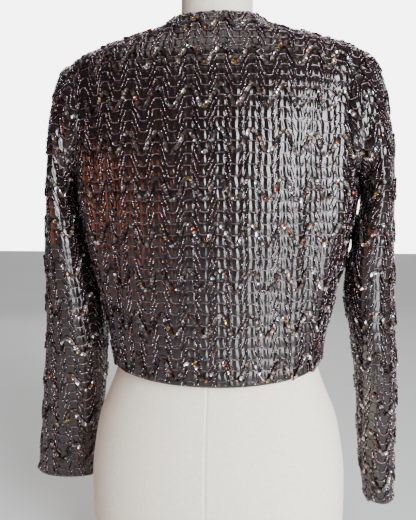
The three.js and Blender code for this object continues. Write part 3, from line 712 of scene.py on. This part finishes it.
def scatter(name, template, faces, point, axes, materials, kinds):
    """Copies of a template mesh, one for each point, its x, y and z along the three axes."""
    x, y, z = axes
    count, size = len(point), len(template)
    points = (point[:, None] + template[None, :, 0:1] * x[:, None] + template[None, :, 1:2] * y[:, None]
              + template[None, :, 2:3] * z[:, None])
    index = (np.arange(count) * size)[:, None, None] + faces[None]
    return new_object(name, points.reshape(-1, 3), index.reshape(-1, 3), materials, np.repeat(kinds, len(faces)))


def turned(axes, about, angle):
    """A frame turned by an angle for each of its copies: about 0 is x, 1 is y, 2 is z."""
    axes = list(axes)
    i, j = [(1, 2), (2, 0), (0, 1)][about]
    c, s = np.cos(angle)[:, None], np.sin(angle)[:, None]
    axes[i], axes[j] = axes[i] * c + axes[j] * s, axes[j] * c - axes[i] * s
    return axes


BEAD = np.array([(1.25, 0, 0), (-1.25, 0, 0), (0, 1.2, 0), (0, -1.2, 0), (0, 0, 1.15), (0, 0, -1.15)])
BEAD_FACES = np.array([(0, 2, 4), (2, 1, 4), (1, 3, 4), (3, 0, 4), (2, 0, 5), (1, 2, 5), (3, 1, 5), (0, 3, 5)])


def prism(half_length, radius):
    """A three-sided stretch of thread."""
    turn = np.array([90, 210, 330]) * math.pi / 180
    ring = np.stack([np.zeros(3), radius * np.cos(turn), radius * np.sin(turn)], axis=1)
    points = np.concatenate([ring - (half_length, 0, 0), ring + (half_length, 0, 0)])
    sides = ((0, 1), (1, 2), (2, 0))
    faces = [(i, j, j + 3) for i, j in sides] + [(i, j + 3, i + 3) for i, j in sides]
    return points, np.array([face[::-1] for face in faces])


def sequin():
    """A cupped disc with eight facets and a hole."""
    points, faces = [], []
    for radius, height in ((0.45, -0.55), (1.35, -0.4), (2.65, 0.25)):
        points += [(radius * math.cos(a), radius * math.sin(a), height) for a in np.arange(8) * math.pi / 4]
    for ring in (0, 8):
        for i in range(8):
            a, b = ring + i, ring + (i + 1) % 8
            faces += [(a, a + 8, b + 8), (a, b + 8, b)]
    return np.array(points), np.array(faces)


# -------- materials
def material(name):
    made = bpy.data.materials.new(name)
    made.use_nodes = True
    nodes, links = made.node_tree.nodes, made.node_tree.links
    return made, nodes, links, nodes["Principled BSDF"]


def noise(nodes, links, scale, detail=3.0, coordinates="Object"):
    place = nodes.new("ShaderNodeTexCoord")
    texture = nodes.new("ShaderNodeTexNoise")
    texture.inputs["Scale"].default_value = scale
    texture.inputs["Detail"].default_value = detail
    links.new(place.outputs[coordinates], texture.inputs["Vector"])
    return texture


def ramp(nodes, links, source, colours):
    """A colour ramp over a value. colours are (place, (red, green, blue))."""
    made = nodes.new("ShaderNodeValToRGB")
    elements = made.color_ramp.elements
    while len(elements) < len(colours):
        elements.new(0.5)
    for element, (place, colour) in zip(elements, colours):
        element.position, element.color = place, (*colour, 1)
    links.new(source, made.inputs["Fac"])
    return made


def bump(nodes, links, bsdf, height, strength, distance):
    made = nodes.new("ShaderNodeBump")
    made.inputs["Strength"].default_value = strength
    made.inputs["Distance"].default_value = distance
    links.new(height, made.inputs["Height"])
    links.new(made.outputs["Normal"], bsdf.inputs["Normal"])


def weave(nodes, links, threads):
    """Height of a plain weave in the cloth's own coordinates, threads to a millimetre."""
    place = nodes.new("ShaderNodeUVMap")
    place.uv_map = "cloth"
    waves = []
    for direction in ("X", "Y"):
        wave = nodes.new("ShaderNodeTexWave")
        wave.bands_direction = direction
        wave.inputs["Scale"].default_value = threads / UV_SCALE / 20 * 2 * math.pi
        links.new(place.outputs["UV"], wave.inputs["Vector"])
        waves.append(wave)
    made = nodes.new("ShaderNodeMath")
    made.operation = "MULTIPLY"
    links.new(waves[0].outputs["Fac"], made.inputs[0])
    links.new(waves[1].outputs["Fac"], made.inputs[1])
    return made.outputs[0]


def satin_material():
    made, nodes, links, bsdf = material("satin")
    cloud = noise(nodes, links, 55)
    colours = ramp(nodes, links, cloud.outputs["Fac"], [(0.3, (0.006, 0.0035, 0.003)), (0.7, (0.014, 0.008, 0.007))])
    links.new(colours.outputs["Color"], bsdf.inputs["Base Color"])
    bsdf.inputs["Roughness"].default_value = 0.15
    bsdf.inputs["Specular IOR Level"].default_value = 0.8
    bump(nodes, links, bsdf, weave(nodes, links, 2.4), 0.12, 0.0001)
    return made


def backing_material():
    made, nodes, links, bsdf = material("backing")
    cloud = noise(nodes, links, 90)
    colours = ramp(nodes, links, cloud.outputs["Fac"], [(0.3, (0.02, 0.016, 0.016)), (0.7, (0.03, 0.025, 0.025))])
    links.new(colours.outputs["Color"], bsdf.inputs["Base Color"])
    bsdf.inputs["Roughness"].default_value = 0.7
    bump(nodes, links, bsdf, weave(nodes, links, 1.6), 0.4, 0.0001)
    return made


def bright_material(name, dark, light, metallic, roughness, scale=700):
    """A bead's, thread's or sequin's finish, its colour changing a little from place to place."""
    made, nodes, links, bsdf = material(name)
    cloud = noise(nodes, links, scale, 1.0)
    colours = ramp(nodes, links, cloud.outputs["Fac"], [(0.35, dark), (0.65, light)])
    links.new(colours.outputs["Color"], bsdf.inputs["Base Color"])
    bsdf.inputs["Metallic"].default_value = metallic
    bsdf.inputs["Roughness"].default_value = roughness
    return made


def linen_material():
    made, nodes, links, bsdf = material("linen")
    cloud = noise(nodes, links, 260, 4.0)
    colours = ramp(nodes, links, cloud.outputs["Fac"], [(0.3, (0.83, 0.76, 0.62)), (0.7, (0.91, 0.86, 0.73))])
    links.new(colours.outputs["Color"], bsdf.inputs["Base Color"])
    bsdf.inputs["Roughness"].default_value = 0.85
    bsdf.inputs["Sheen Weight"].default_value = 0.2
    bsdf.inputs["Sheen Roughness"].default_value = 0.5
    bump(nodes, links, bsdf, weave(nodes, links, 1.1), 0.35, 0.0002)
    return made


def wood_material():
    made, nodes, links, bsdf = material("turned_wood")
    place = nodes.new("ShaderNodeTexCoord")
    stretch = nodes.new("ShaderNodeMapping")
    stretch.inputs["Scale"].default_value = (1, 9, 1)
    grain = nodes.new("ShaderNodeTexNoise")
    grain.inputs["Scale"].default_value = 22
    grain.inputs["Detail"].default_value = 6
    links.new(place.outputs["Object"], stretch.inputs["Vector"])
    links.new(stretch.outputs["Vector"], grain.inputs["Vector"])
    colours = ramp(nodes, links, grain.outputs["Fac"], [(0.3, (0.36, 0.21, 0.10)), (0.7, (0.55, 0.36, 0.20))])
    links.new(colours.outputs["Color"], bsdf.inputs["Base Color"])
    bsdf.inputs["Roughness"].default_value = 0.45
    bump(nodes, links, bsdf, grain.outputs["Fac"], 0.15, 0.0005)
    return made


SATIN, BACKING, LINEN, WOOD = satin_material(), backing_material(), linen_material(), wood_material()
BEADS = [
    bright_material("bead_purple", (0.08, 0.035, 0.06), (0.50, 0.33, 0.44), 0.8, 0.25),
    bright_material("bead_copper", (0.08, 0.028, 0.02), (0.42, 0.24, 0.19), 0.8, 0.28),
    bright_material("bead_dark", (0.008, 0.006, 0.007), (0.03, 0.02, 0.025), 0.7, 0.25),
    bright_material("bead_silver", (0.5, 0.4, 0.46), (0.85, 0.76, 0.81), 0.95, 0.2),
]
THREAD = bright_material("thread", (0.02, 0.012, 0.015), (0.34, 0.23, 0.27), 0.5, 0.35, 850)
SEQUINS = [
    bright_material("sequin_black", (0.04, 0.034, 0.034), (0.12, 0.10, 0.10), 0.8, 0.3, 300),
    bright_material("sequin_brown", (0.12, 0.085, 0.07), (0.27, 0.20, 0.16), 0.8, 0.34, 300),
    bright_material("sequin_grey", (0.38, 0.38, 0.40), (0.72, 0.72, 0.75), 0.95, 0.22, 300),
    bright_material("sequin_gold", (0.5, 0.33, 0.04), (0.8, 0.58, 0.1), 0.9, 0.2, 300),
    bright_material("sequin_copper", (0.26, 0.06, 0.03), (0.55, 0.18, 0.09), 0.9, 0.24, 300),
]


def dress(cut, node, flip):
    cloth = shell(cut, [SATIN, BACKING], flip)
    extra = []
    place, direction = legs(cut)
    point, normal, tangent, side, _ = frames(cut, place, direction, 1.6)
    kinds = rng.choice(4, len(point), p=[0.30, 0.19, 0.32, 0.19])
    axes = turned((tangent, side, normal), 0, rng.uniform(0, np.pi / 2, len(point)))
    extra.append(scatter(cut.name + "_beads", BEAD, BEAD_FACES, point + normal * STRAND_LIFT, axes, BEADS, kinds))
    place, direction = flats(cut)
    point, normal, tangent, side, _ = frames(cut, place, direction, 1.0)
    points, faces = prism(0.95, 0.95)
    extra.append(scatter(cut.name + "_thread", points, faces, point + normal * THREAD_LIFT, (tangent, side, normal),
                         [THREAD], np.zeros(len(point))))
    place, direction = sequin_line(cut)
    point, normal, tangent, side, _ = frames(cut, place, direction, 1.8)
    keep = rng.uniform(size=len(point)) > 0.05
    point, normal, tangent, side = point[keep], normal[keep], tangent[keep], side[keep]
    count = len(point)
    axes = turned((tangent, side, normal), 1, -0.33 + rng.normal(0, 0.2, count))
    axes = turned(axes, 0, rng.normal(0, 0.24, count))
    axes = turned(axes, 2, rng.uniform(0, np.pi / 4, count))
    kinds = rng.choice(5, count, p=[0.40, 0.26, 0.28, 0.015, 0.045])
    points, faces = sequin()
    extra.append(scatter(cut.name + "_sequins", points, faces, point + normal * SEQUIN_LIFT, axes, SEQUINS, kinds))
    for piece in [cloth] + extra:
        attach(piece, "root")
    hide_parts(node)


back = Cut("back", Body(1), grain="middle")
# A bottom flat lies on the centre back.
back.shift_to_band(PERIOD / 2, 2 * COLUMNS)
front_left = Cut("front_left", Body(-1), grain="last")
front_left.shift_to_band(-4, -1)
front_right = copy.copy(front_left)
front_right.name, front_right.mirror = "front_right", -1
sleeve_left = Cut("sleeve_left", Sleeve(SLEEVE_LEFT), grain="middle")
sleeve_right = Cut("sleeve_right", Sleeve(SLEEVE_RIGHT), mirror=-1, grain="middle")
sleeve_left.shift(0, 5)
sleeve_right.shift(0, 5)

dress(back, "back", False)
dress(front_left, "front_left", True)
dress(front_right, "front_right", False)
dress(sleeve_left, "sleeve_left", False)
dress(sleeve_right, "sleeve_right", True)


# -------- the dress form
def dress_form():
    heights = np.concatenate([[8.3, 9.2, 11.0], np.linspace(18, 660, 56), np.linspace(666, 798.5, 38), [799.6, 800.0]])
    inset = np.zeros(len(heights))
    inset[[0, 1, -2, -1]] = 2.0, 0.8, 0.6, 2.5
    # Four seams run up the cover, at its sides and its middles: a groove between two low ridges.
    radius = 140
    off = np.array([-5, -3.2, -1.8, -0.8, 0, 0.8, 1.8, 3.2, 5]) / radius
    seams = (np.arange(4)[:, None] * np.pi / 2 + off).ravel() % (2 * np.pi)
    plain = np.radians(np.arange(0, 360, 5) + 2.5)
    turn = np.sort(np.concatenate([seams, plain]))
    steps = len(turn)
    arc = np.abs((turn + np.pi / 4) % (np.pi / 2) - np.pi / 4) * radius
    inset = inset[:, None] + 0.8 * bell(arc / 0.8) - 0.3 * bell((arc - 2.6) / 1.1)
    angle, z = np.meshgrid(turn, heights)
    ring = section(FORM, angle, z)
    ring[..., :2] *= (1 - inset / np.linalg.norm(ring[..., :2], axis=-1))[..., None]
    count = len(heights)
    points = np.concatenate([ring.reshape(-1, 3), [(0, 0, 8.3), (0, 0, NECK_TOP_Z)]])
    a = (np.arange(count - 1)[:, None] * steps + np.arange(steps)[None]).ravel()
    b = (np.arange(count - 1)[:, None] * steps + (np.arange(steps) + 1)[None] % steps).ravel()
    faces = np.concatenate([np.stack([a, b, b + steps], 1), np.stack([a, b + steps, a + steps], 1)])
    i, following = np.arange(steps), (np.arange(steps) + 1) % steps
    top = (count - 1) * steps
    caps = np.concatenate([
        np.stack([np.full(steps, count * steps), following, i], 1),
        np.stack([np.full(steps, count * steps + 1), top + i, top + following], 1),
    ])
    faces = np.concatenate([faces, caps])
    piece = new_object("dress_form", points, faces, [LINEN])
    layer = piece.data.uv_layers.new(name="cloth")
    around = 2 * np.pi * 130
    flat = np.stack([np.arctan2(points[:, 1], points[:, 0]) / (2 * np.pi) * around, points[:, 2]], axis=1)
    corner = flat[faces.ravel()].reshape(-1, 3, 2)
    wrapped = corner[..., 0].max(1) - corner[..., 0].min(1) > around / 2
    corner[wrapped, :, 0] += np.where(corner[wrapped, :, 0] < 0, around, 0)
    layer.data.foreach_set("uv", (corner.reshape(-1, 2) * UV_SCALE).astype(np.float32).ravel())
    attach(piece, "root")
    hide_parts("form_torso")


dress_form()
for node in ("neck_cap", "form_base"):
    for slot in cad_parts[node].material_slots:
        slot.material = WOOD


# -------- floor, lights, camera
def floor():
    mesh = bpy.data.meshes.new("floor")
    half = 8
    mesh.from_pydata([(-half, -half, 0), (half, -half, 0), (half, half, 0), (-half, half, 0)], [], [(0, 1, 2, 3)])
    piece = bpy.data.objects.new("floor", mesh)
    bpy.context.scene.collection.objects.link(piece)
    made, nodes, links, bsdf = material("pale_floor")
    cloud = noise(nodes, links, 3)
    colours = ramp(nodes, links, cloud.outputs["Fac"], [(0.3, (0.70, 0.70, 0.70)), (0.7, (0.73, 0.73, 0.73))])
    links.new(colours.outputs["Color"], bsdf.inputs["Base Color"])
    bsdf.inputs["Roughness"].default_value = 0.8
    mesh.materials.append(made)


def area_light(name, place, target, width, height, power, colour, spread=180):
    data = bpy.data.lights.new(name, "AREA")
    data.spread = math.radians(spread)
    data.shape = "RECTANGLE"
    data.size, data.size_y = width, height
    data.energy, data.color = power, colour
    lamp = bpy.data.objects.new(name, data)
    lamp.location = place
    lamp.rotation_euler = (Vector(target) - Vector(place)).to_track_quat("-Z", "Y").to_euler()
    lamp.visible_camera = False
    bpy.context.scene.collection.objects.link(lamp)


floor()
world = bpy.data.worlds.new("studio")
world.use_nodes = True
background = world.node_tree.nodes["Background"]
# The backdrop is plain and pale. The light that it gives comes from the side that the jacket's front faces.
nodes, links = world.node_tree.nodes, world.node_tree.links
toward = nodes.new("ShaderNodeTexCoord")
parts = nodes.new("ShaderNodeSeparateXYZ")
links.new(toward.outputs["Generated"], parts.inputs["Vector"])
ahead = nodes.new("ShaderNodeMath")
ahead.operation = "MULTIPLY"
ahead.inputs[1].default_value = -1
links.new(parts.outputs["Y"], ahead.inputs[0])
shade = ramp(nodes, links, ahead.outputs[0], [(0.6, (0.012, 0.0122, 0.013)), (0.9, (0.8, 0.8, 0.8))])
ray = nodes.new("ShaderNodeLightPath")
seen = nodes.new("ShaderNodeMix")
seen.data_type = "RGBA"
links.new(ray.outputs["Is Camera Ray"], seen.inputs["Factor"])
# The mix's two colours are its inputs 6 and 7, and its colour is output 2.
links.new(shade.outputs["Color"], seen.inputs[6])
seen.inputs[7].default_value = (1.0, 1.0, 1.0, 1.0)
links.new(seen.outputs[2], background.inputs["Color"])
background.inputs["Strength"].default_value = 6.0
bpy.context.scene.world = world
# Behind the jacket: a cool window at its right with a low one under it, and a weak warm lamp at its left.
area_light("window", (-1.2, 1.42, 0.85), (0, 0, 0.5), 1.1, 1.5, 32, (0.92, 0.97, 1.0), spread=100)
area_light("warm_lamp", (1.5, 0.9, 0.28), (0, 0, 0.3), 0.6, 0.6, 0.8, (1.0, 0.22, 0.06), spread=80)
area_light("low_window", (-0.5, 0.66, 0.04), (-0.1, 0, 0.35), 0.5, 0.35, 5, (0.95, 0.98, 1.0))
area_light("over", (0.1, 0.5, 2.4), (0, 0, 0.5), 1.6, 1.2, 9, (1.0, 0.96, 0.90))
area_light("front_fill", (0.6, -1.9, 1.2), (0, 0, 0.45), 1.4, 1.6, 7, (1.0, 0.98, 0.96))

YAW, DISTANCE, FOCAL_PX = math.radians(8), 0.865, 621
camera_data = bpy.data.cameras.new("camera")
camera_data.sensor_fit = "VERTICAL"
camera_data.sensor_height = 36
camera_data.lens = FOCAL_PX / 520 * 36
camera_data.shift_x, camera_data.shift_y = -9 / 520, -40 / 520
camera = bpy.data.objects.new("camera", camera_data)
camera.location = (-DISTANCE * math.sin(YAW), DISTANCE * math.cos(YAW), 0.466)
camera.rotation_euler = (math.pi / 2, 0, math.pi + YAW)
bpy.context.scene.collection.objects.link(camera)
bpy.context.scene.camera = camera

bpy.context.view_layer.update()
